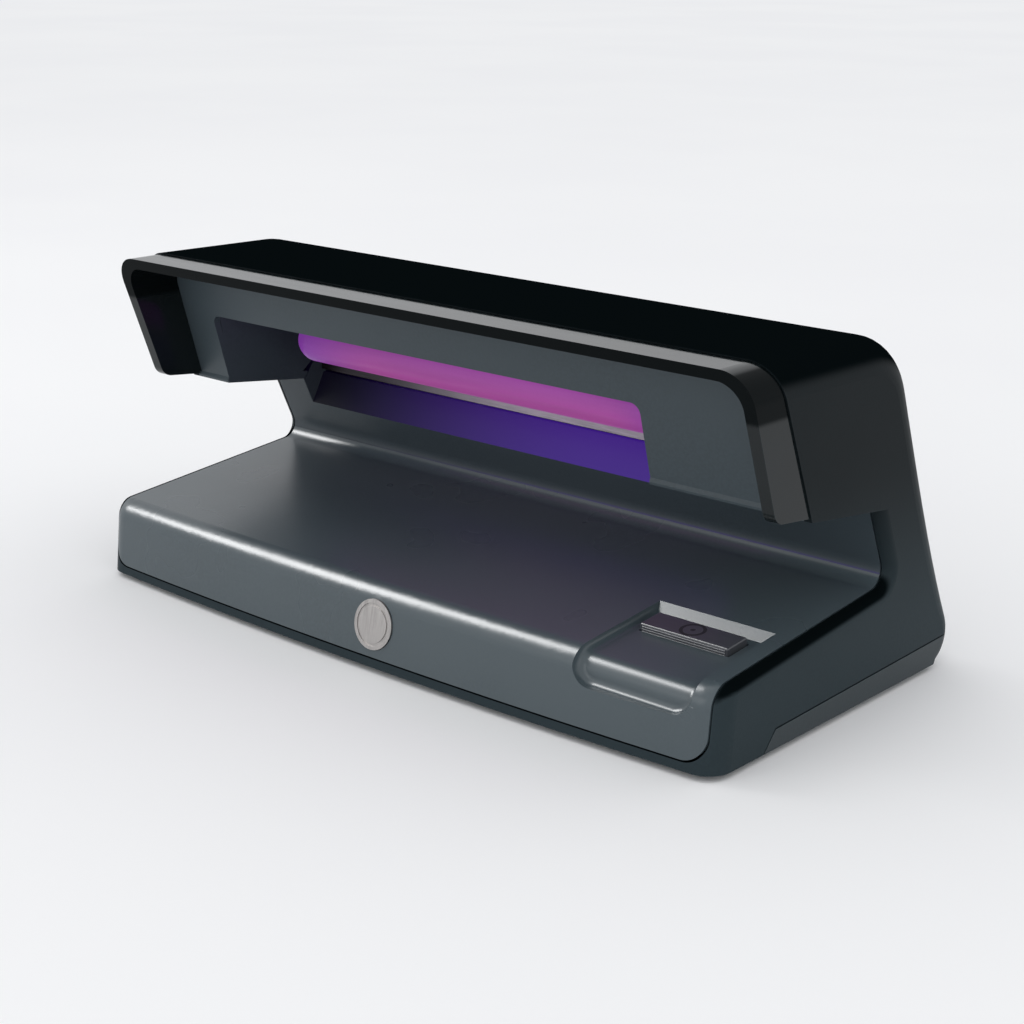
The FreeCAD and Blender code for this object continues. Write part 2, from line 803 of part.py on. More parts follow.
SWITCH_POST_X = ("-switch_post_x", "switch_post_x")
BOARD_TOP = "switch_board_drop"


def scoop():
    """The finger scoop round the button, which runs forward over the tray's front edge."""
    tool = slab("scoop_tool", [
        (AHEAD, "scoop_low_z"), ("scoop_front_y-0.6", "scoop_low_z"),
        ("scoop_front_y", "scoop_front_z"), ("scoop_rear_y", "scoop_rear_z"),
        ("scoop_end_y", "scoop_end_z"), ("scoop_end_y", "throat_z"), (AHEAD, "throat_z"),
    ], "scoop_left", "scoop_right")
    tool = round_edges("scoop_nose", tool, crossing("scoop_front_y", "scoop_front_z"), 4.5)

    def low_end(first, last):
        low = max(first.z, last.z) < value("scoop_low_z") + 0.1
        return low and abs(first.x - last.x) < 0.1 and abs(first.y - last.y) > 5

    tool = round_edges("scoop_low_corners", tool, low_end, 5.0)

    def floor_end(first, last):
        inside = max(first.z, last.z) < value("scoop_rear_z+0.02") and min(first.y, last.y) > -46
        return inside and abs(first.x - last.x) < 0.1

    return round_edges("scoop_floor_ends", tool, floor_end, 1.9)


def tray_fascia():
    """Tray and front in one moulding, with the scoop, the button's hole and its bosses."""
    skin = common("fascia_skin", shell, fascia_zone)
    pocket_block = slab("pocket_block", [
        (AHEAD, "scoop_low_z-wall"), ("scoop_front_y+1.9", "scoop_low_z-wall"),
        ("scoop_front_y+1.9", "scoop_front_z-2"), ("scoop_end_y+0.9", "scoop_rear_z-1.68"),
        ("scoop_end_y+3.4", 24), ("scoop_end_y+3.4", 30), (AHEAD, 30),
    ], "scoop_left-3", "scoop_right+3")
    pocket = common("pocket", outer, pocket_block)
    bosses = []
    pilots = []
    seat = "(ledge_z+ledge_thick+0.05)"
    for index, (side, y) in enumerate(FASCIA_BOSSES):
        at = (f"{side}*boss_x", y, seat)
        bosses.append(rod(f"boss_{index}", at, "boss_r", f"{z_at(NOSE, THROAT, y)}-1.2-{seat}"))
        pilots.append(rod(f"boss_pilot_{index}", at, "pilot_r", 4.2))
    for index, dx in enumerate(SWITCH_POST_X):
        bosses.append(tray_rod(f"switch_post_{index}", dx, 3.5, BOARD_TOP, 2.3))
        pilots.append(tray_rod(f"switch_pilot_{index}", dx, 7, f"{BOARD_TOP}+0.1", "pilot_thin_r"))
    hole = tray_box("button_hole", "button_wide/2+button_gap", "button_deep/2+button_gap", -3, 8)
    badge_seat = badge_disc("badge_seat", "badge_r+0.1", -0.3, 3.0)
    solid = fuse("fascia_solid", skin, pocket, *bosses)
    return cut("fascia", solid, scoop(), hole, badge_seat, *pilots)


def badge_disc(name, radius, start, length):
    """A disc square to the leaning front face at the middle of the casing."""
    share = value("badge_z") / value("front_rise")
    face = value("front_y") + value("front_back") * share
    bow = value("bow_low") + (value("bow_high") - value("bow_low")) * share
    rise = value("front_back") + value("bow_low") - value("bow_high")
    lean = math.degrees(math.atan2(rise, value("front_rise")))
    turn = FreeCAD.Rotation(FreeCAD.Vector(1, 0, 0), 90 - lean)
    outward = turn.multVec(FreeCAD.Vector(0, 0, 1))
    disc = document.addObject("Part::Cylinder", name)
    bind(disc, {"Radius": radius, "Height": length})
    return put(disc, (
        "badge_x", f"{face - bow + start * outward.y:.4f}", f"badge_z+({start * outward.z:.4f})"), turn)


node("tray_fascia", tray_fascia())
disc = badge_disc("badge_plate", "badge_r", -0.3, 0.7)
groove = cut("badge_groove", badge_disc("badge_outer", "badge_r-0.9", 0.2, 1.0),
             badge_disc("badge_inner", "badge_r-1.7", 0.1, 1.2))
node("front_badge", cut("badge", disc, groove))


# ---------------------------------------------------------------- power button

def power_button():
    """The button's cap with ridges on its front, a flange under the fascia and a stem."""
    cap = tray_box("button_cap", "button_wide/2", "button_deep/2", 0.15, 4.7)
    cap = round_edges("button_cap_edges", cap, lambda first, last: True, 0.5)
    flange = tray_box("button_flange", "button_wide/2+0.4", "button_deep/2+1.0", 4.6, 5.8)
    stem = tray_rod("button_stem", 0, 5.7, 8.3, 1.8)
    ridges = []
    for index in range(3):
        depth = 0.9 + 0.62 * index
        ridge = document.addObject("Part::Cylinder", f"button_ridge_{index}")
        bind(ridge, {"Radius": 0.2, "Height": "button_wide-1.6"})
        at = tray_place("0", "button_y", depth)
        lean = math.cos(math.radians(TRAY_ANGLE))
        slope = math.sin(math.radians(TRAY_ANGLE))
        put(ridge, ("button_x-button_wide/2+0.8", f"{at[1]}-button_deep/2*{lean:.5f}",
                    f"{at[2]}-button_deep/2*{slope:.5f}"), ACROSS)
        ridges.append(ridge)
    mark = cut("button_mark", tray_rod("mark_outer", 0, 0, 0.35, "mark_r"),
               tray_rod("mark_inner", 0, -0.1, 0.45, "mark_r-mark_line"))
    dot = tray_rod("mark_dot", 0, 0, 0.35, "mark_dot_r")
    return cut("button", fuse("button_solid", cap, flange, stem, *ridges), mark, dot)


def button_symbol():
    """The painted ring and dot that fill the engraving."""
    ring = cut("symbol_ring", tray_rod("symbol_outer", 0, 0.17, 0.35, "mark_r"),
               tray_rod("symbol_inner", 0, 0.1, 0.4, "mark_r-mark_line"))
    return group("symbol", ring, tray_rod("symbol_dot", 0, 0.17, 0.35, "mark_dot_r"))


def spring(name, dx):
    """A coil spring between the button's flange and the switch board."""
    wire = 0.2
    length = value(BOARD_TOP) - 5.8 - 2 * wire
    coil = Part.makeHelix(1.2, length, 1.5)
    start = FreeCAD.Vector(1.5, 0, 0)
    ring = Part.Wire(Part.makeCircle(wire, start, FreeCAD.Vector(0, 1, 0)))
    solid = Part.Wire(coil.Edges).makePipeShell([ring], True, True)
    piece = document.addObject("Part::Feature", name)
    piece.Shape = solid
    return put(piece, tray_place(f"button_x+({dx})", "button_y", f"{BOARD_TOP}-{wire}"), TRAY_TURN)


node("power_button", power_button())
node("button_symbol", button_symbol())
node("button_springs", group("springs", spring("spring_left", -9.5), spring("spring_right", 9.5)))

switch_block = tray_box("switch_block", 3.4, 3.4, 9.5, BOARD_TOP)
node("push_switch", cut("switch", switch_block, tray_rod("switch_well", 0, 9, 11.8, 1.45)))
node("switch_plunger", tray_rod("plunger", 0, 8.3, 10.6, 1.4))
board_back = f"({BOARD_TOP}+switch_board_thick)"
switch_plate = tray_box("switch_plate", "switch_post_x+2.8", 4.6, BOARD_TOP, board_back)
board_holes = []
small_screws = []
for index, dx in enumerate(SWITCH_POST_X):
    board_holes.append(tray_rod(f"switch_board_hole_{index}", dx, 12, 16, 1.1))
    head = tray_rod(f"switch_head_{index}", dx, board_back, f"{board_back}+1.2", 1.9)
    shank = tray_rod(f"switch_shank_{index}", dx, 8, f"{board_back}+0.1", 1.0)
    small_screws.append(fuse(f"switch_screw_{index}", head, shank))
node("switch_board", cut("switch_board_cut", switch_plate, *board_holes))
node("switch_board_screws", group("small_screws", *small_screws))


# ---------------------------------------------------------------- ultraviolet lamp

def lamp_glass():
    """Two parallel tubes with round ends, joined by a short bridge near the free end."""
    solids = []
    for index in (0, 1):
        start = lamp_centre(index, "glass_left+tube_r")
        solids.append(rod(f"tube_{index}", start, "tube_r", "glass_right-glass_left-tube_r", ACROSS))
        ball = document.addObject("Part::Sphere", f"tube_end_{index}")
        bind(ball, {"Radius": "tube_r"})
        solids.append(put(ball, start))
    pitch_line = FreeCAD.Vector(0, value("tube_dy"), value("tube_dz"))
    across = FreeCAD.Rotation(FreeCAD.Vector(0, 0, 1), pitch_line)
    bridge_x = "glass_left+tube_r+3"
    solids.append(rod("tube_bridge", lamp_centre(0, bridge_x), 2.2, pitch_line.Length, across))
    return fuse("glass", *solids)


def contact_places(x):
    """Where the lamp's two contact pins stand."""
    return [(x, f"tube_y+tube_dy*{share}", f"tube_z+tube_dz*{share}") for share in (-0.15, 1.15)]


cap_block = lamp_block("cap_block", "glass_right", "cap_long", "cap_high", "cap_deep")
cap_round = round_edges(
    "cap_round", cap_block, lambda first, last: abs(first.x - last.x) > 5, 3.0)
key_post = lamp_block("key_post", "glass_right+cap_long-0.1", "post_long+0.1", "8", "8")
lamp_cap = fuse("cap", cap_round, key_post)
contacts = [
    rod(f"contact_{index}", place, "contact_r", "contact_long", ACROSS)
    for index, place in enumerate(contact_places("glass_right+cap_long"))
]
node("uv_lamp_glass", lamp_glass())
node("lamp_cap", lamp_cap)
node("lamp_contact_pins", group("contacts", *contacts))

socket_block = lamp_block("socket_block", "glass_right+cap_long+0.2", "14", "23", "14")
socket_bores = [
    rod(f"socket_bore_{index}", place, "contact_r+0.25", 9, ACROSS)
    for index, place in enumerate(contact_places("glass_right+cap_long-1"))
]
socket_key = lamp_block("socket_key", "glass_right+cap_long-1", "8", "8.4", "8.4")
node("lamp_socket", cut("socket", socket_block, socket_key, *socket_bores))
sleeves = []
for index, place in enumerate(contact_places("glass_right+cap_long+2")):
    outside = rod(f"sleeve_{index}", place, "contact_r+0.25", 5.5, ACROSS)
    inside = rod(f"sleeve_bore_{index}", place, "contact_r+0.05", 5.6, ACROSS)
    sleeves.append(cut(f"socket_sleeve_{index}", outside, inside))
node("socket_contacts", group("sleeves", *sleeves))

clip_ring = rod("clip_ring", lamp_centre(1, "clip_x"), "tube_r+0.35", 6, ACROSS)
clip_outer = rod("clip_outer", lamp_centre(1, "clip_x"), "tube_r+0.75", 6, ACROSS)
clip_mouth = box("clip_mouth", ("clip_x-1", -12, 62), ("clip_x+7", "tube_y+tube_dy-1.5", 90))
node("lamp_clip", cut("clip", clip_outer, clip_ring, clip_mouth))


# ---------------------------------------------------------------- reflector

REFLECTOR = [(19.9, 49.2), (18.7, 72), (13.0, 83.6), (-17, 84.3)]


def reflector():
    """A bent sheet behind and above the lamp."""
    (back_y, back_z), (bend_y, bend_z), (knee_y, knee_z), (tip_y, tip_z) = REFLECTOR
    outside = [
        (tip_y, f"{tip_z}+sheet"), (f"{knee_y}+0.3*sheet", f"{knee_z}+sheet"),
        (f"{bend_y}+sheet", f"{bend_z}+0.03*sheet"), (f"{back_y}+sheet", f"{back_z}+0.03*sheet"),
    ]
    bent = slab("reflector_sheet", REFLECTOR + outside, "window_left+0.4", "window_right-0.4")
    holes = [
        rod(f"hole_{x}", (x, 15, "reflector_hole_z"), "screw_clear_r", 10, ALONG)
        for x in REFLECTOR_SCREW_X
    ]
    return cut("reflector_cut", bent, *holes)


node("reflector", reflector())


def screw(name, place, turn, head, shank):
    """A cross-head screw from its head's outer face: (radius, length) of the head and the shank."""
    cap = rod(f"{name}_head", place, head[0], head[1], turn)
    stem = rod(f"{name}_shank", place, shank[0], f"{head[1]}+{shank[1]}", turn)
    solid = fuse(f"{name}_solid", cap, stem)
    bars = []
    for index, (wide, long) in enumerate(((0.5, 1.2), (1.2, 0.5))):
        bar = document.addObject("Part::Box", f"{name}_bar_{index}")
        bind(bar, {
            "Length": f"{wide}*{head[0]}", "Width": f"{long}*{head[0]}", "Height": 1.4})
        shift = turn.multVec(FreeCAD.Vector(-wide * head[0] / 2, -long * head[0] / 2, -0.7))
        at = [f"({size})+({step:.4f})" for size, step in zip(place, shift)]
        bars.append(put(bar, at, turn))
    return cut(name, solid, *bars)


node("reflector_screws", group("reflector_screw_pair", *[
    screw(f"screw_{x}", (x, "reflector_post_y-3", "reflector_hole_z"), ALONG, (2.3, 1.1), (1.25, 7.5))
    for x in REFLECTOR_SCREW_X
]))


# ---------------------------------------------------------------- base cover, feet and casing screws

FOOT_PLACES = [(f"{side}*foot_x", y) for side in (-1, 1) for y in ("foot_front_y", "foot_rear_y")]
SCREW_PLACES = [(f"{side}*screw_x", y) for side in (-1, 1) for y in ("screw_front_y", "screw_rear_y")]
BOARD_CORNERS = [
    (x, y) for x in ("board_left+board_inset", "board_right-board_inset")
    for y in ("board_front_y+board_inset", "board_rear_y-board_inset")
]


def base_cover():
    """The base plate with its rim, screw wells, foot seats, board pillars and vents."""
    skin = common("base_skin", shell, base_zone)
    wells = []
    cuts = []
    for index, (x, y) in enumerate(SCREW_PLACES):
        wells.append(rod(f"well_{index}", (x, y, "floor_z+0.1"), 4.4, 3.5))
        cuts.append(rod(f"well_sink_{index}", (x, y, 0), 3.1, 3.5))
        cuts.append(rod(f"well_hole_{index}", (x, y, 0), "screw_clear_r", 8))
    for index, (x, y) in enumerate(FOOT_PLACES):
        cuts.append(rod(f"foot_seat_{index}", (x, y, 0), "foot_r+0.05", "floor_z+0.6"))
    for index, (x, y) in enumerate(BOARD_CORNERS):
        wells.append(rod(f"pillar_{index}", (x, y, "floor_z+0.5"), "pillar_r", "board_z-floor_z-0.5"))
        cuts.append(rod(f"pillar_pilot_{index}", (x, y, 3.2), "pilot_thin_r", 8))
    for index, x in enumerate(range(-40, 31, 7)):
        cuts.append(box(f"base_vent_{index}", (x, -6, 0), (x + 2.2, 22, 5)))
    return cut("base", fuse("base_solid", skin, *wells), *cuts)


node("base_cover", base_cover())
node("rubber_feet", group("feet", *[
    round_edges(f"foot_{index}", rod(f"foot_block_{index}", (x, y, 0), "foot_r", "floor_z+0.6"),
                lambda first, last: max(first.z, last.z) < 0.1, 0.4)
    for index, (x, y) in enumerate(FOOT_PLACES)
]))
node("casing_screws", group("casing_screw_set", *[
    screw(f"casing_screw_{index}", (x, y, 1.6), UPRIGHT, (2.9, 1.9), (1.5, 7.5))
    for index, (x, y) in enumerate(SCREW_PLACES)
]))
node("fascia_screws", group("fascia_screw_set", *[
    screw(f"fascia_screw_{index}", (f"{side}*boss_x", y, "ledge_z-1.8"), UPRIGHT, (2.5, 1.8), (1.25, 6.0))
    for index, (side, y) in enumerate(FASCIA_BOSSES)
]))
node("rating_label", box("label", (-50, -26, "floor_z-0.12"), (-2, -9, "floor_z")))


# ---------------------------------------------------------------- main board

BOARD_TOP_Z = "board_z+board_thick"


HEADER_PLACES = [(44, 14), (44, -10)]
HEADER_SIZE = (7.5, 5.5, 6.5)
FUSE_PLACE = (-40, -14)
FUSE_RISE = 3.2
FUSE_RADIUS = 2.5
CLIP_PLACES = [(x, FUSE_PLACE[1]) for x in (-36, -24)]


def main_board():
    """The circuit board with its corner holes."""
    plate = box("board_plate", ("board_left", "board_front_y", "board_z"),
                ("board_right", "board_rear_y", BOARD_TOP_Z))
    holes = [rod(f"board_hole_{index}", (x, y, 6), 1.3, 5) for index, (x, y) in enumerate(BOARD_CORNERS)]
    return cut("board", plate, *holes)


def on_board(name, x, y, wide, deep, high):
    """A block that stands on the board, centred on a place."""
    low = (x - wide / 2, y - deep / 2, BOARD_TOP_Z)
    return box(name, low, (x + wide / 2, y + deep / 2, f"{BOARD_TOP_Z}+{high}"))


def standing_rod(name, x, y, radius, high):
    """A round component that stands on the board."""
    return rod(name, (x, y, BOARD_TOP_Z), radius, high)


def transformer():
    """A ferrite core with two windows and the winding round its middle leg."""
    x, y = 6, -4
    core = on_board("core_block", x, y, 18, 12, 11)
    windows = [
        box(f"core_window_{side}", (x + side * 5 - 2, y - 10, f"{BOARD_TOP_Z}+2.5"),
            (x + side * 5 + 2, y + 10, f"{BOARD_TOP_Z}+8.5")) for side in (-1, 1)
    ]
    coil = box("coil_block", (x - 6.8, y - 8, f"{BOARD_TOP_Z}+2.7"),
               (x + 6.8, y + 8, f"{BOARD_TOP_Z}+8.3"))
    leg = on_board("coil_leg", x, y, 6.1, 12.1, 11)
    core = cut("core", core, *windows)
    return core, cut("coil_clear", cut("coil", coil, leg), core)


node("main_board", main_board())
core, coil = transformer()
node("transformer_core", core)
node("transformer_winding", coil)
node("electrolytic_capacitors", group("electrolytics", *[
    standing_rod(f"electrolytic_{index}", x, 12, 4, 11.5) for index, x in enumerate((-24, -36))
]))
node("film_capacitors", group("films", *[
    on_board(f"film_{index}", -54, y, 12, 5, 8.5) for index, y in enumerate((-12, -2, 8))
]))
node("power_transistors", group("transistors", *[
    on_board(f"transistor_{index}", x, 20, 9.5, 4.2, 11) for index, x in enumerate((2, 16))
]))


def fuse_clip(name, x, y):
    """A spring clip with a bore for the fuse and a mouth above it."""
    block = on_board(f"{name}_block", x, y, 4, 6.4, 5.6)
    bore = rod(f"{name}_bore", (x - 3, y, f"{BOARD_TOP_Z}+{FUSE_RISE}"), FUSE_RADIUS + 0.02, 6, ACROSS)
    mouth = box(f"{name}_mouth", (x - 3, y - 1.8, f"{BOARD_TOP_Z}+{FUSE_RISE}+0.2"), (x + 3, y + 1.8, 20))
    return cut(name, block, bore, mouth)


node("fuse", rod("fuse_body", (*FUSE_PLACE, f"{BOARD_TOP_Z}+{FUSE_RISE}"), FUSE_RADIUS, 20, ACROSS))
node("fuse_clips", group("clips", *[
    fuse_clip(f"fuse_clip_{index}", *place) for index, place in enumerate(CLIP_PLACES)
]))
node("board_headers", group("headers", *[
    on_board(f"header_{index}", *place, *HEADER_SIZE) for index, place in enumerate(HEADER_PLACES)
]))
node("driver_chip", on_board("chip", -10, -14, 10, 6, 1.8))
node("board_screws", group("board_screw_set", *[
    fuse(f"board_screw_{index}", rod(f"board_head_{index}", (x, y, BOARD_TOP_Z), 2.2, 1.5),
         rod(f"board_shank_{index}", (x, y, 3.4), 1.0, 6.0))
    for index, (x, y) in enumerate(BOARD_CORNERS)
]))


# ---------------------------------------------------------------- power inlet

def power_inlet():
    """A moulded barrel inlet that stands on the board behind its opening."""
    body = box("inlet_block", ("jack_x-4.5", "jack_front_y-14", BOARD_TOP_Z),
               ("jack_x+4.5", "jack_front_y", f"{jack_z}+4"))
    bore = rod("inlet_bore", ("jack_x", "jack_front_y-9.5", jack_z), 3.1, 12, ALONG)
    return cut("inlet", body, bore)


node("power_inlet", power_inlet())
node("inlet_pin", rod("inlet_pin_rod", ("jack_x", "jack_front_y-9.5", jack_z), 1.05, 9.0, ALONG))


# ---------------------------------------------------------------- wiring

def wire(name, points, radius):
    """A round lead along straight runs with a bend at each inner point."""
    corners = [FreeCAD.Vector(*[value(size) for size in point]) for point in points]
    runs = []
    start = corners[0]
    for before, corner, after in zip(corners, corners[1:], corners[2:]):
        inward = (before - corner).normalize()
        outward = (after - corner).normalize()
        turn = math.pi - inward.getAngle(outward)
        run = 0.4 * min((before - corner).Length, (after - corner).Length)
        bend = run / math.tan(turn / 2)
        middle = (inward + outward).normalize()
        centre = corner + middle * (bend / math.cos(turn / 2))
        first = corner + inward * run
        last = corner + outward * run
        runs.append(Part.LineSegment(start, first).toShape())
        runs.append(Part.Arc(first, centre - middle * bend, last).toShape())
        start = last
    runs.append(Part.LineSegment(start, corners[-1]).toShape())
    path = Part.Wire(runs)
    ring = Part.Wire(Part.makeCircle(radius, corners[0], corners[1] - corners[0]))
    lead = document.addObject("Part::Feature", name)
    lead.Shape = path.makePipeShell([ring], True, False)
    lead.Placement = FreeCAD.Placement()
    return lead


def pair(name, points, gap, radius):
    """Two leads side by side."""
    leads = []
    for side in (-1, 1):
        moved = [(f"{x}+({side * gap / 2})", y, z) for x, y, z in points]
        leads.append(wire(f"{name}_{side}", moved, radius))
    return group(name, *leads)


header_top = f"{BOARD_TOP_Z}+{HEADER_SIZE[2]}"
lamp_header, switch_header = HEADER_PLACES
LAMP_PATH = [
    (*lamp_header, header_top), (*lamp_header, 20.2), (56, 27, 22.5), (76, 32.5, 30), (89, 29.5, 46),
    (89.5, 24, 60), (89.5, 15.1, 68.6),
]
SWITCH_PATH = [
    (*switch_header, header_top), (*switch_header, 19.8), (56, -16, 19.6), (61.2, -19.6, 17),
    (62.2, -19.6, 10.75),
]
node("lamp_wires", pair("lamp_leads", LAMP_PATH, 2.2, 0.75))
node("switch_wires", pair("switch_leads", SWITCH_PATH, 1.6, 0.6))


# ---------------------------------------------------------------- check and write

document.recompute()
for thing in document.Objects:
    if "Invalid" in thing.State or "Error" in thing.State:
        raise RuntimeError(f"{thing.Name} ({thing.Label}): {thing.State}")
for name, thing in nodes.items():
    if thing.Shape.isNull() or not thing.Shape.isValid():
        raise RuntimeError(f"{name}: bad shape")

os.makedirs("parts", exist_ok=True)
for name, thing in nodes.items():
    thing.Shape.exportStep(os.path.join("parts", f"{name}.step"))
    bounds = thing.Shape.optimalBoundingBox(False)
    spans = [f"{low:.1f}..{high:.1f}" for low, high in (
        (bounds.XMin, bounds.XMax), (bounds.YMin, bounds.YMax), (bounds.ZMin, bounds.ZMax))]
    print(f"{name}: {len(thing.Shape.Solids)} solids, {thing.Shape.Volume:.0f} mm3, {spans}")
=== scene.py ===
import math

import bpy
from mathutils import Matrix, Vector


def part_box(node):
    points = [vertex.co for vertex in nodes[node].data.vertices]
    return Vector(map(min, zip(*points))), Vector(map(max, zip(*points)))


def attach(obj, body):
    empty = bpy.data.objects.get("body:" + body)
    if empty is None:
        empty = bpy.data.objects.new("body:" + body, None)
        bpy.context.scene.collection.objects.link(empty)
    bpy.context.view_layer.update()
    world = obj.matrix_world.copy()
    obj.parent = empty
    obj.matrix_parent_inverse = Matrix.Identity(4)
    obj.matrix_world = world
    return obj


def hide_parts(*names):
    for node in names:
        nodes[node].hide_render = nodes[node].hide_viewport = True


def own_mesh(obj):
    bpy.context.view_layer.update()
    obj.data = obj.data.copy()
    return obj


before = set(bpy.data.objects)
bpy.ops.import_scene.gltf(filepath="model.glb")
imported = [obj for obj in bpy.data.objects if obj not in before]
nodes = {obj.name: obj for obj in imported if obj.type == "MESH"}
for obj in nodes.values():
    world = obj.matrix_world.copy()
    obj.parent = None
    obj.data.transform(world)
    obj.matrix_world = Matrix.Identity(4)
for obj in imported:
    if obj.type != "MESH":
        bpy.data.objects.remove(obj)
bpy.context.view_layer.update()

scene = bpy.context.scene


# ---------------------------------------------------------------- camera

def aim(eye, azimuth, elevation, roll):
    """The camera's placement from its place and its angles in degrees."""
    turn, rise, lean = (math.radians(angle) for angle in (azimuth, elevation, roll))
    back = Vector((math.sin(turn) * math.cos(rise), -math.cos(turn) * math.cos(rise), math.sin(rise)))
    level = Vector((math.cos(turn), math.sin(turn), 0))
    upright = level.cross(-back)
    right = level * math.cos(lean) + upright * math.sin(lean)
    up = upright * math.cos(lean) - level * math.sin(lean)
    placement = Matrix((right, up, back)).transposed().to_4x4()
    placement.translation = eye
    return placement


CAMERA_EYE = (0.31675, -0.35447, 0.17425)
CAMERA_TURN, CAMERA_RISE, CAMERA_LEAN = 41.44, 17.05, 0.46

camera_data = bpy.data.cameras.new("camera")
camera = bpy.data.objects.new("camera", camera_data)
scene.collection.objects.link(camera)
camera.matrix_world = aim(CAMERA_EYE, CAMERA_TURN, CAMERA_RISE, CAMERA_LEAN)
camera_data.sensor_width = 36.0
camera_data.lens = 67.97
camera_data.clip_start = 0.01
scene.camera = camera


# ---------------------------------------------------------------- shader helpers

class Shader:
    """One procedural material and short names for its nodes."""

    def __init__(self, name):
        self.material = bpy.data.materials.new(name)
        self.material.use_nodes = True
        self.tree = self.material.node_tree
        self.tree.nodes.clear()
        self.place = self.add("ShaderNodeTexCoord").outputs["Object"]
        self.out = self.add("ShaderNodeOutputMaterial")

    def add(self, kind, **settings):
        made = self.tree.nodes.new(kind)
        for key, setting in settings.items():
            setattr(made, key, setting)
        return made

    def join(self, source, socket):
        """Links a socket, or sets a plain number or colour."""
        if isinstance(source, bpy.types.NodeSocket):
            self.tree.links.new(source, socket)
        elif isinstance(source, tuple) and len(source) == 3 and len(socket.default_value) == 4:
            socket.default_value = (*source, 1.0)
        else:
            socket.default_value = source

    def math(self, operation, first, second=0.0):
        made = self.add("ShaderNodeMath", operation=operation)
        self.join(first, made.inputs[0])
        self.join(second, made.inputs[1])
        return made.outputs[0]

    def stretch(self, scale):
        """Object coordinates stretched differently along each axis."""
        made = self.add("ShaderNodeMapping")
        self.join(self.place, made.inputs["Vector"])
        made.inputs["Scale"].default_value = scale
        return made.outputs[0]

    def noise(self, scale, detail=2.0, roughness=0.5, vector=None):
        made = self.add("ShaderNodeTexNoise")
        self.join(vector or self.place, made.inputs["Vector"])
        made.inputs["Scale"].default_value = scale
        made.inputs["Detail"].default_value = detail
        made.inputs["Roughness"].default_value = roughness
        return made.outputs["Fac"]

    def cells(self, scale, vector=None):
        made = self.add("ShaderNodeTexVoronoi")
        self.join(vector or self.place, made.inputs["Vector"])
        made.inputs["Scale"].default_value = scale
        return made.outputs["Distance"]

    def fade(self, amount, low, high, start=0.0, stop=1.0):
        """Maps low..high of a number smoothly to start..stop."""
        made = self.add("ShaderNodeMapRange", interpolation_type="SMOOTHSTEP")
        self.join(amount, made.inputs["Value"])
        for key, number in (("From Min", low), ("From Max", high), ("To Min", start), ("To Max", stop)):
            self.join(number, made.inputs[key])
        return made.outputs["Result"]

    def mix(self, amount, first, second):
        made = self.add("ShaderNodeMix", data_type="RGBA")
        self.join(amount, made.inputs["Factor"])
        self.join(first, made.inputs["A"])
        self.join(second, made.inputs["B"])
        return made.outputs["Result"]

    def axes(self, vector=None):
        made = self.add("ShaderNodeSeparateXYZ")
        self.join(vector or self.place, made.inputs[0])
        return made.outputs

    def facing(self):
        """The surface's own direction, as three numbers."""
        return self.axes(self.add("ShaderNodeNewGeometry").outputs["Normal"])

    def edges(self, radius):
        """1 on sharp outer edges and 0 on flat faces."""
        bevel = self.add("ShaderNodeBevel", samples=4)
        bevel.inputs["Radius"].default_value = radius
        dot = self.add("ShaderNodeVectorMath", operation="DOT_PRODUCT")
        self.join(bevel.outputs[0], dot.inputs[0])
        self.join(self.add("ShaderNodeNewGeometry").outputs["Normal"], dot.inputs[1])
        return self.fade(dot.outputs["Value"], 0.995, 0.90)

    def bump(self, height, depth):
        made = self.add("ShaderNodeBump")
        self.join(height, made.inputs["Height"])
        made.inputs["Distance"].default_value = depth
        return made.outputs[0]

    def finish(self, **inputs):
        """A principled surface from named inputs."""
        surface = self.add("ShaderNodeBsdfPrincipled")
        for key, source in inputs.items():
            self.join(source, surface.inputs[key.replace("_", " ")])
        self.join(surface.outputs[0], self.out.inputs["Surface"])
        return self.material


def tint(colour, factor):
    """A colour made lighter or darker."""
    return tuple(min(1.0, part * factor) for part in colour)


# ---------------------------------------------------------------- materials

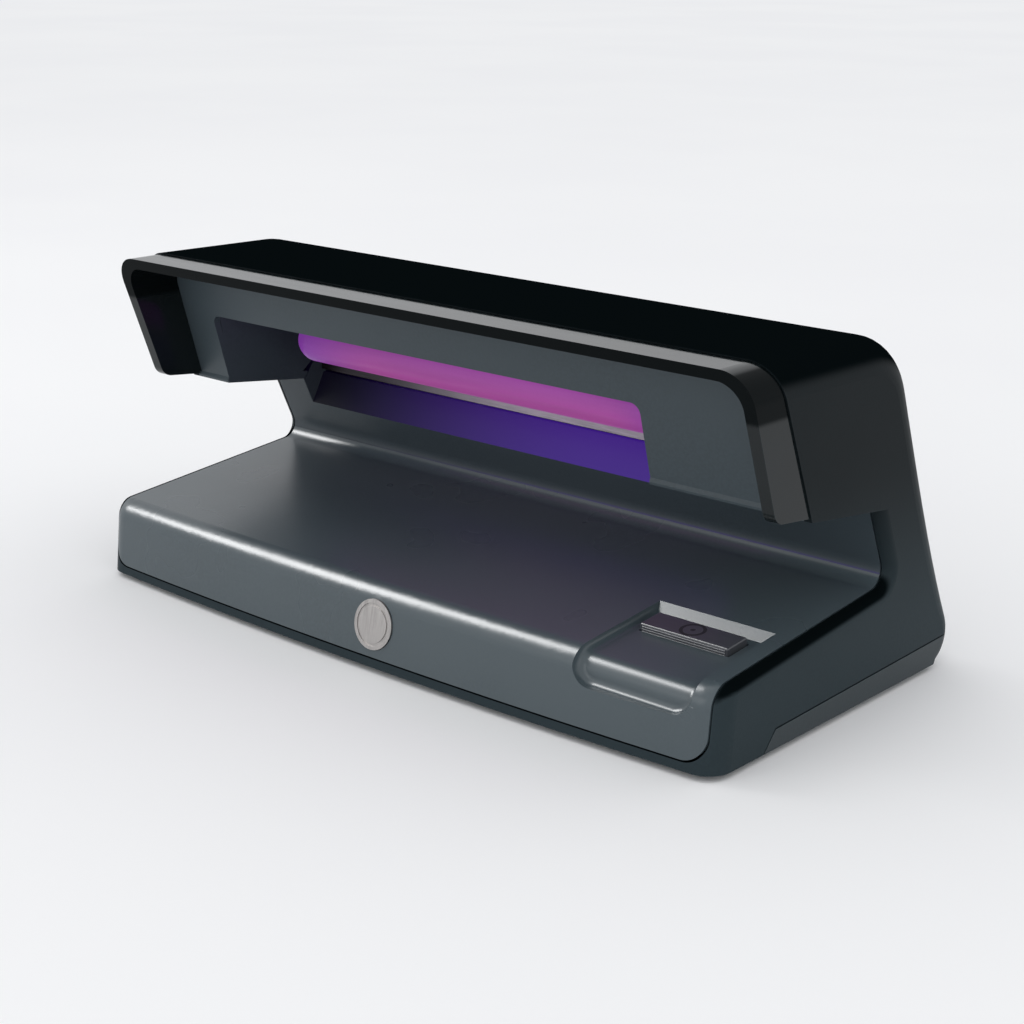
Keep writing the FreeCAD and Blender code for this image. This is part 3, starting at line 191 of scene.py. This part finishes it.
def moulded(
        name, colour, rough, gloss=0.5, grain=1900, depth=0.00002, wear=0.25, painted_top_shade=None, glow=None,
        painted_height_shade=None):
    """Moulded plastic: spark-eroded grain, faintly uneven colour and sheen, paler rubbed edges.

    The table for the faces that look up gives their colour and gloss: painted shade that makes the top
    darker.
    The lamp table gives painted lamp light, a violet glow emitted by the faces that look up, whose own
    colour is darkened to a tenth as painted shade, and the X between which the glow rises. The height table
    gives the two heights between which the upright faces darken, as painted shade, and how dark they end.
    """
    shader = Shader(name)
    cloud = shader.noise(22, 2)
    speck = shader.noise(1300, 4, 0.6)
    base = shader.mix(shader.fade(cloud, 0.3, 0.7), tint(colour, 0.94), tint(colour, 1.06))
    base = shader.mix(shader.fade(speck, 0.35, 0.65), base, tint(colour, 1.07))
    # painted shade: the colour darkens between two heights, darker towards the top
    if painted_height_shade is not None:
        low, high, share = painted_height_shade
        base = shader.mix(shader.fade(shader.axes()["Z"], low, high), base, tint(colour, share))
    sheen = gloss
    # painted shade: the faces that look up take the darker top colour and its gloss
    if painted_top_shade is not None:
        upward = shader.fade(shader.facing()["Z"], 0.15, 0.55)
        base = shader.mix(upward, base, painted_top_shade[0])
        sheen = shader.fade(upward, 0.0, 1.0, gloss, painted_top_shade[1])
    rubbed = shader.fade(shader.noise(160, 4), 0.35, 0.65, 0.2, 1.0)
    edge = shader.math("MULTIPLY", shader.edges(0.0005), rubbed)
    base = shader.mix(shader.math("MULTIPLY", edge, wear), base, tint(colour, 2.6))
    uneven = shader.fade(shader.noise(40, 2, 0.5), 0.3, 0.7, rough - 0.01, rough + 0.02)
    pits = shader.noise(grain, 3, 0.65)
    normal = shader.bump(pits, depth)
    shine = {}
    # painted light: a violet glow emitted by the faces that look up, whose colour is darkened as painted
    # shade
    if glow is not None:
        tone, start, stop = glow
        upward = shader.fade(shader.facing()["Z"], 0.15, 0.35)
        base = shader.mix(upward, base, tint(colour, 0.10))
        lit = shader.math("MULTIPLY", upward, shader.fade(shader.axes()["X"], start, stop, 0.02, 1.0))
        shine = {"Emission_Color": tone, "Emission_Strength": lit}
    return shader.finish(
        Base_Color=base, Roughness=uneven, Specular_IOR_Level=sheen, Normal=normal, **shine)


def gloss_black(name, colour, rough, gloss, front):
    """Polished dark plastic with fine wiping marks and a little haze.

    front gives the height where the front band starts and the gloss of the upright and rounded faces above
    it, whose colour is halved there as painted shade.
    """
    shader = Shader(name)
    wipe = shader.noise(120, 5, 0.7, shader.stretch((0.25, 3.0, 3.0)))
    haze = shader.fade(shader.noise(30, 4), 0.3, 0.7)
    base = shader.mix(haze, tint(colour, 0.8), tint(colour, 1.3))
    base = shader.mix(shader.math("MULTIPLY", shader.edges(0.0004), 0.35), base, tint(colour, 4))
    polish = shader.fade(wipe, 0.3, 0.75, rough, rough + 0.05)
    band, band_gloss = front
    upright = shader.fade(shader.facing()["Z"], 0.97, 0.85)
    raised = shader.fade(shader.axes()["Z"], band - 0.001, band + 0.001)
    # painted shade: upright faces above the front band's height darkened to half and dulled
    painted_front_shade = shader.math("MULTIPLY", upright, raised)
    base = shader.mix(painted_front_shade, base, tint(colour, 0.5))
    sheen = shader.fade(painted_front_shade, 0.0, 1.0, gloss, band_gloss)
    normal = shader.bump(shader.noise(2400, 2), 0.000003)
    return shader.finish(Base_Color=base, Roughness=polish, Specular_IOR_Level=sheen, Normal=normal)


def metal(name, colour, rough, along, scale=900, depth=0.00001, painted_shade_x=None):
    """Brushed or rolled metal with lines along one axis, dull patches and bright edges.

    The dimming table gives the two X between which the metal clears from a darker share of its tone: painted
    shade, darker towards the low X.
    """
    shader = Shader(name)
    lines = shader.noise(scale, 4, 0.7, shader.stretch(along))
    patch = shader.noise(70, 5, 0.6)
    base = shader.mix(shader.fade(patch, 0.35, 0.7), tint(colour, 0.78), tint(colour, 1.08))
    base = shader.mix(shader.fade(lines, 0.4, 0.65), base, tint(colour, 1.18))
    base = shader.mix(shader.math("MULTIPLY", shader.edges(0.0002), 0.4), base, tint(colour, 1.5))
    # painted shade: the metal darker towards the low X end
    if painted_shade_x is not None:
        start, stop, share = painted_shade_x
        base = shader.mix(shader.fade(shader.axes()["X"], start, stop), tint(colour, share), base)
    sheen = shader.fade(lines, 0.25, 0.8, rough - 0.06, rough + 0.12)
    normal = shader.bump(lines, depth)
    return shader.finish(Base_Color=base, Metallic=1.0, Roughness=sheen, Normal=normal)


def rubber(name, colour):
    """Matt rubber with a fine cast surface, dust on it and scuffs."""
    shader = Shader(name)
    dust = shader.fade(shader.noise(420, 6, 0.7), 0.5, 0.75)
    base = shader.mix(shader.math("MULTIPLY", dust, 0.5), colour, tint(colour, 5))
    normal = shader.bump(shader.noise(1500, 4, 0.7), 0.00004)
    return shader.finish(Base_Color=base, Roughness=0.85, Specular_IOR_Level=0.25, Normal=normal)


def lamp_glow(name):
    """The lit tube: pink violet along its middle, bluer towards its ends and upper side."""
    shader = Shader(name)
    low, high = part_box("uv_lamp_glass")
    x = shader.axes()["X"]
    left = shader.fade(x, low[0] - 0.002, low[0] + 0.035)
    right = shader.fade(x, high[0] + 0.002, high[0] - 0.028)
    body = shader.math("MULTIPLY", left, right)
    side = shader.fade(shader.facing()["Z"], -0.75, 0.7)
    streak = shader.noise(120, 3, 0.5, shader.stretch((0.12, 1.6, 1.6)))
    warm = shader.mix(side, (0.30, 0.058, 0.24), (0.24, 0.048, 0.26))
    tone = shader.mix(body, (0.15, 0.028, 0.26), warm)
    power = shader.fade(streak, 0.25, 0.75, 0.88, 1.1)
    frost = shader.noise(1400, 3)
    normal = shader.bump(frost, 0.000006)
    return shader.finish(
        Base_Color=shader.mix(frost, (0.03, 0.01, 0.04), (0.05, 0.02, 0.06)), Roughness=0.3,
        Specular_IOR_Level=0.15, Emission_Color=tone, Emission_Strength=power, Normal=normal)


def board(name, colour, mask):
    """A printed circuit: lacquer over copper tracks, with drilled pads."""
    shader = Shader(name)
    wide = shader.cells(210, vector=shader.stretch((1, 1, 0)))
    track = shader.add("ShaderNodeTexBrick")
    shader.join(shader.stretch((1, 1, 0)), track.inputs["Vector"])
    track.inputs["Scale"].default_value = 95
    track.inputs["Mortar Size"].default_value = 0.022
    copper = shader.fade(track.outputs["Fac"], 0.3, 0.7)
    pads = shader.fade(wide, 0.12, 0.10)
    base = shader.mix(shader.fade(shader.noise(50, 3), 0.3, 0.7), tint(colour, 0.85), tint(colour, 1.1))
    base = shader.mix(shader.math("MULTIPLY", copper, 0.75), base, mask)
    base = shader.mix(pads, base, (0.62, 0.6, 0.55))
    normal = shader.bump(copper, 0.00003)
    return shader.finish(
        Base_Color=base, Roughness=shader.fade(pads, 0, 1, 0.32, 0.22),
        Metallic=shader.math("MULTIPLY", pads, 0.9), Coat_Weight=0.3, Normal=normal)


def sleeve(name, colour, band, rough=0.4):
    """Shrunk or taped plastic film: fine wrinkles round the part and a paler stripe."""
    shader = Shader(name)
    ripple = shader.noise(500, 4, 0.6, shader.stretch((1, 1, 3)))
    stripe = shader.fade(shader.noise(90, 1, vector=shader.stretch((1, 1, 0.1))), 0.58, 0.62)
    base = shader.mix(shader.fade(ripple, 0.3, 0.7), tint(colour, 0.85), tint(colour, 1.15))
    base = shader.mix(shader.math("MULTIPLY", stripe, 0.35), base, band)
    normal = shader.bump(ripple, 0.00003)
    return shader.finish(Base_Color=base, Roughness=rough, Normal=normal)


def label(name):
    """A blank matt silver film with a thin frame and plain field lines."""
    shader = Shader(name)
    low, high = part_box("rating_label")
    axes = shader.axes()
    inset = []
    for axis, index in (("X", 0), ("Y", 1)):
        middle = (low[index] + high[index]) / 2
        half = (high[index] - low[index]) / 2
        offset = shader.math("ABSOLUTE", shader.math("SUBTRACT", axes[axis], middle))
        inset.append(shader.math("SUBTRACT", half, offset))
    gap = shader.math("MINIMUM", *inset)
    line = shader.math("MULTIPLY", shader.fade(gap, 0.0009, 0.0011), shader.fade(gap, 0.0016, 0.0014))
    rows = shader.fade(shader.math("PINGPONG", axes["Y"], 0.0021), 0.00016, 0.0001)
    inside = shader.fade(gap, 0.0019, 0.0021)
    ink = shader.math("MAXIMUM", line, shader.math("MULTIPLY", rows, inside))
    film = shader.fade(shader.noise(300, 4), 0.3, 0.7)
    base = shader.mix(film, (0.40, 0.41, 0.42), (0.50, 0.51, 0.52))
    base = shader.mix(shader.math("MULTIPLY", ink, 0.85), base, (0.03, 0.03, 0.035))
    normal = shader.bump(shader.noise(900, 3), 0.000006)
    return shader.finish(Base_Color=base, Roughness=0.42, Metallic=0.35, Normal=normal)


def paper(name, low_tone, high_tone):
    """A plain soft tone for the floor, with a faint cloud."""
    shader = Shader(name)
    base = shader.mix(shader.fade(shader.noise(3, 3), 0.3, 0.7), low_tone, high_tone)
    return shader.finish(Base_Color=base, Roughness=0.7, Specular_IOR_Level=0.0)


GRAPHITE = (0.050, 0.067, 0.076)
CHARCOAL = (0.018, 0.026, 0.030)

materials = {
    # housing: painted shade, near-black top faces without gloss and darker towards the top
    "housing": moulded("housing", tint(CHARCOAL, 1.35), 0.42, 0.05, wear=0.1,
                       painted_top_shade=((0.002, 0.0035, 0.004), 0.0), painted_height_shade=(0.010, 0.062, 0.30)),
    # visor: painted shade on the upright faces of its front band
    "visor": gloss_black("visor", (0.006, 0.009, 0.010), 0.12, 0.24, (0.076, 0.03)),
    "panel": moulded("panel", (0.048, 0.064, 0.074), 0.45, 0.3, depth=0.000012, wear=0.05),
    "fascia": moulded("fascia", tint(GRAPHITE, 1.1), 0.28, 0.5, grain=2200, depth=0.0000015, wear=0.05),
    # liner: painted violet lamp glow on its shelf, over painted shade
    "liner": moulded("liner", (0.042, 0.056, 0.066), 0.4, 0.3, depth=0.00001, wear=0.05,
                     glow=((0.040, 0.010, 0.200), -0.085, 0.02)),
    "base": moulded("base", tint(CHARCOAL, 1.25), 0.48, 0.35, wear=0.3),
    "badge": metal("badge", (0.36, 0.345, 0.335), 0.42, (1, 0.1, 0.04), 2600, 0.000003),
    "button": moulded("button", (0.045, 0.048, 0.056), 0.3, 0.7, grain=2600, depth=0.00001, wear=0.5),
    "symbol": moulded("symbol", (0.010, 0.011, 0.012), 0.5, 0.4, depth=0.000006),
    "spring": metal("spring", (0.55, 0.55, 0.56), 0.25, (1, 1, 1)),
    "nylon": moulded("nylon", (0.012, 0.012, 0.013), 0.5, 0.45),
    "white_nylon": moulded("white_nylon", (0.62, 0.60, 0.55), 0.45, 0.5),
    "circuit": board("circuit", (0.012, 0.075, 0.035), (0.03, 0.16, 0.07)),
    "screw": metal("screw", (0.50, 0.50, 0.51), 0.3, (3, 3, 0.5), 600),
    "black_screw": metal("black_screw", (0.06, 0.06, 0.065), 0.38, (3, 3, 0.5), 600),
    "lamp": lamp_glow("lamp"),
    "cap": moulded("cap", (0.60, 0.60, 0.58), 0.4, 0.5),
    "brass": metal("brass", (0.62, 0.43, 0.16), 0.27, (0.3, 3, 3)),
    "socket": moulded("socket", (0.58, 0.56, 0.50), 0.5, 0.45),
    # reflector: painted shade towards its left end
    "reflector": metal("reflector", (0.46, 0.41, 0.47), 0.42, (0.12, 2.5, 2.5), 700,
                       painted_shade_x=(-0.070, 0.0, 0.10)),
    "rubber": rubber("rubber", (0.014, 0.014, 0.015)),
    "label": label("label"),
    "ferrite": moulded("ferrite", (0.035, 0.034, 0.034), 0.6, 0.3, grain=2600, depth=0.00004),
    "tape": sleeve("tape", (0.42, 0.29, 0.03), (0.55, 0.42, 0.08)),
    "can": sleeve("can", (0.014, 0.016, 0.035), (0.45, 0.45, 0.48)),
    "film_box": moulded("film_box", (0.30, 0.05, 0.02), 0.35, 0.5),
    "epoxy": moulded("epoxy", (0.014, 0.014, 0.015), 0.55, 0.4, grain=2800),
    "fuse": metal("fuse", (0.55, 0.56, 0.55), 0.12, (1, 1, 1)),
    "wire": sleeve("wire", (0.30, 0.30, 0.31), (0.5, 0.5, 0.5), 0.45),
}

DRESS = {
    "upper_housing": "housing", "visor_frame": "visor", "lamp_panel": "panel", "back_liner": "liner",
    "tray_fascia": "fascia", "front_badge": "badge", "power_button": "button", "button_symbol": "symbol",
    "button_springs": "spring", "push_switch": "nylon", "switch_plunger": "white_nylon",
    "switch_board": "circuit", "switch_board_screws": "screw", "uv_lamp_glass": "lamp", "lamp_cap": "cap",
    "lamp_contact_pins": "brass", "lamp_socket": "socket", "socket_contacts": "brass", "lamp_clip": "spring",
    "reflector": "reflector", "reflector_screws": "screw", "base_cover": "base", "rubber_feet": "rubber",
    "casing_screws": "black_screw", "fascia_screws": "screw", "rating_label": "label",
    "main_board": "circuit", "transformer_core": "ferrite", "transformer_winding": "tape",
    "electrolytic_capacitors": "can", "film_capacitors": "film_box", "power_transistors": "epoxy",
    "fuse": "fuse", "fuse_clips": "spring", "board_headers": "white_nylon", "driver_chip": "epoxy",
    "board_screws": "screw", "power_inlet": "nylon", "inlet_pin": "spring", "lamp_wires": "wire",
    "switch_wires": "wire",
}
for name, finish in DRESS.items():
    for slot in nodes[name].material_slots:
        slot.material = materials[finish]


# ---------------------------------------------------------------- a copy of the button springs with its own mesh, on the casing

springs = bpy.data.objects.new("button_spring_pair", nodes["button_springs"].data.copy())
scene.collection.objects.link(springs)
springs.matrix_world = nodes["button_springs"].matrix_world
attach(springs, "casing")
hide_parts("button_springs")
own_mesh(springs)


# ---------------------------------------------------------------- floor and light

floor_mesh = bpy.data.meshes.new("floor")
FLOOR_HALF = 30.0
floor_mesh.from_pydata(
    [(-FLOOR_HALF, -FLOOR_HALF, 0), (FLOOR_HALF, -FLOOR_HALF, 0),
     (FLOOR_HALF, FLOOR_HALF, 0), (-FLOOR_HALF, FLOOR_HALF, 0)], [], [(0, 1, 2, 3)])
floor = bpy.data.objects.new("floor", floor_mesh)
scene.collection.objects.link(floor)
floor.data.materials.append(paper("floor", (0.88, 0.88, 0.885), (0.90, 0.90, 0.90)))


def panel_light(name, place, target, size, power, lit=True, mirrored=True):
    """A rectangular soft light that looks at a point.

    With lit off it is only mirrored by glossy faces, and with mirrored off it only lights them.
    """
    data = bpy.data.lights.new(name, "AREA")
    data.shape = "RECTANGLE"
    data.size, data.size_y = size
    data.energy = power
    light = bpy.data.objects.new(name, data)
    scene.collection.objects.link(light)
    light.visible_diffuse = lit
    light.visible_glossy = mirrored
    light.location = place
    light.rotation_euler = (Vector(target) - Vector(place)).to_track_quat("-Z", "Y").to_euler()
    return light


SCOOP_NOSE = (0.079, -0.045, 0.018)

panel_light("key", (-0.72, -0.30, 0.80), SCOOP_NOSE, (0.10, 0.55), 0.8, mirrored=False)
panel_light("card", (-0.72, -0.34, 0.78), SCOOP_NOSE, (0.36, 0.60), 13, lit=False)
panel_light("front", (-0.35, -1.3, 0.55), (0, 0, 0.03), (0.9, 0.5), 1.6)
panel_light("right", (1.3, -0.5, 0.25), (0.1, 0, 0.03), (0.5, 0.3), 1)

world = bpy.data.worlds.new("studio")
scene.world = world
world.use_nodes = True
sky = world.node_tree
background = sky.nodes["Background"]
background.inputs["Color"].default_value = (0.97, 0.98, 1.0, 1)
background.inputs["Strength"].default_value = 0.97

scene.view_settings.view_transform = "Standard"
